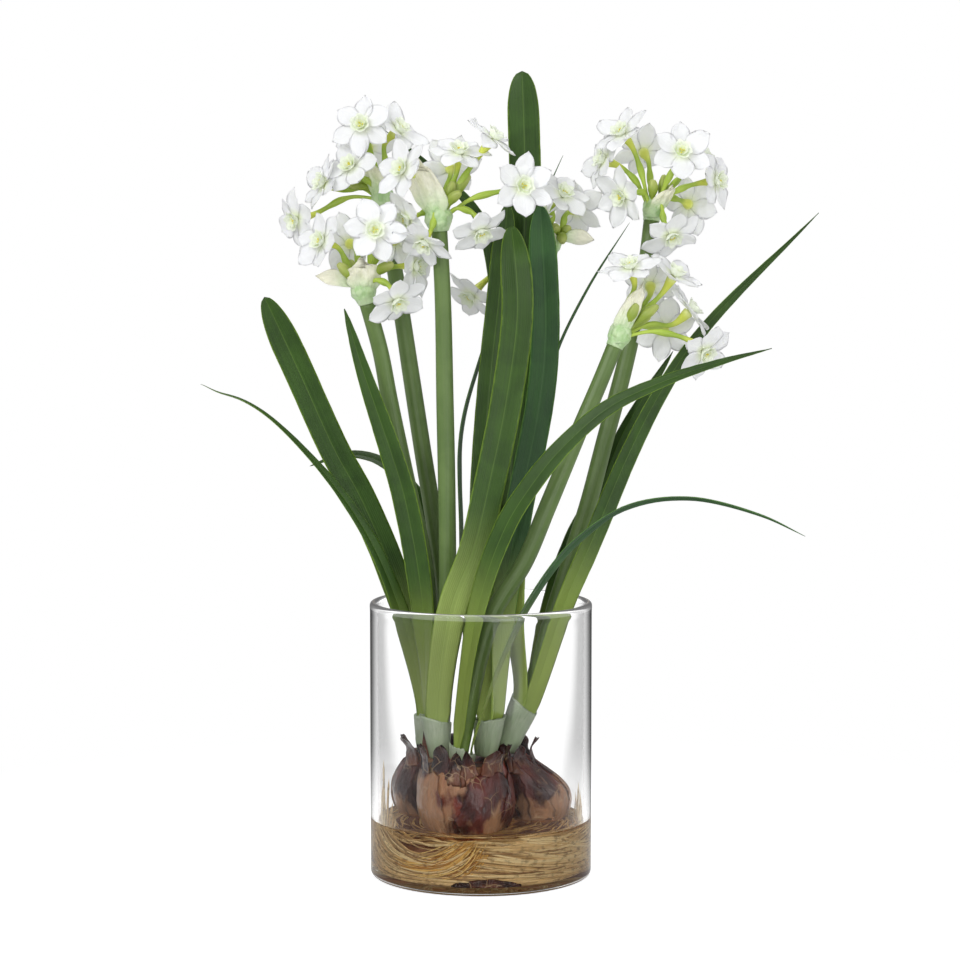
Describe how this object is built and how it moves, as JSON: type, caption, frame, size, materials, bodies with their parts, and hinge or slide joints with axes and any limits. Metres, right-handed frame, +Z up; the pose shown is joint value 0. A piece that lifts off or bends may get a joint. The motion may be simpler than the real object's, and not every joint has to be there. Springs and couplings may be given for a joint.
{
  "type": "narcissus arrangement in a glass vase",
  "caption": "Paperwhite narcissus, a small-flowered daffodil, with white flower heads and strap leaves growing from bulbs in a clear glass cylinder of water.",
  "frame": {"origin": "centre of the underside of the vase, on the surface it stands on", "axes": "+Z up along the vase's axis; -Y towards the side that the arrangement is seen from; +X to its right"},
  "size_m": [0.3466, 0.1345, 0.452],
  "materials": {
    "glass": "clear, fire-polished rim",
    "water": "clear, faintly brown, still surface",
    "bulb_coat": "dry papery coat, satin, dark red-brown with tan patches",
    "root": "fine matt strands",
    "sheath": "satin, fine lengthwise grain",
    "flower_stem": "satin",
    "leaf": "satin, lighter edges, fine lengthwise veins",
    "petal": "soft matt white, yellow-green throat and stalks"
  },
  "bodies": {
    "root": {"vase": "glass", "water": "water", "bulb_left": "bulb_coat", "bulb_centre": "bulb_coat", "bulb_right": "bulb_coat", "roots_left": "root", "roots_centre": "root", "roots_right": "root", "sheath_front_left": "sheath", "sheath_front": "sheath", "sheath_middle": "sheath", "sheath_right": "sheath", "sheath_back_left": "sheath", "leaf_left_low": "leaf", "leaf_left_broad": "leaf", "leaf_left_inner": "leaf", "leaf_left_drooping": "leaf", "leaf_front_broad": "leaf", "leaf_centre_front": "leaf", "leaf_centre_tall": "leaf", "leaf_centre_back": "leaf", "leaf_back_left_thin": "leaf", "leaf_back_right_thin": "leaf", "leaf_front_arching": "leaf", "leaf_right_upper": "leaf", "leaf_front_thin": "leaf", "leaf_right_back": "leaf", "leaf_back_arching": "leaf", "scape_left_front": "flower_stem", "scape_left_back": "flower_stem", "scape_centre": "flower_stem", "scape_middle_back": "flower_stem", "scape_right_top": "flower_stem", "scape_right_low": "flower_stem", "head_left_front": "petal", "head_left_back": "petal", "head_centre": "petal", "head_middle_back": "petal", "head_right_top": "petal", "head_right_low": "petal"}
  },
  "joints": []
}
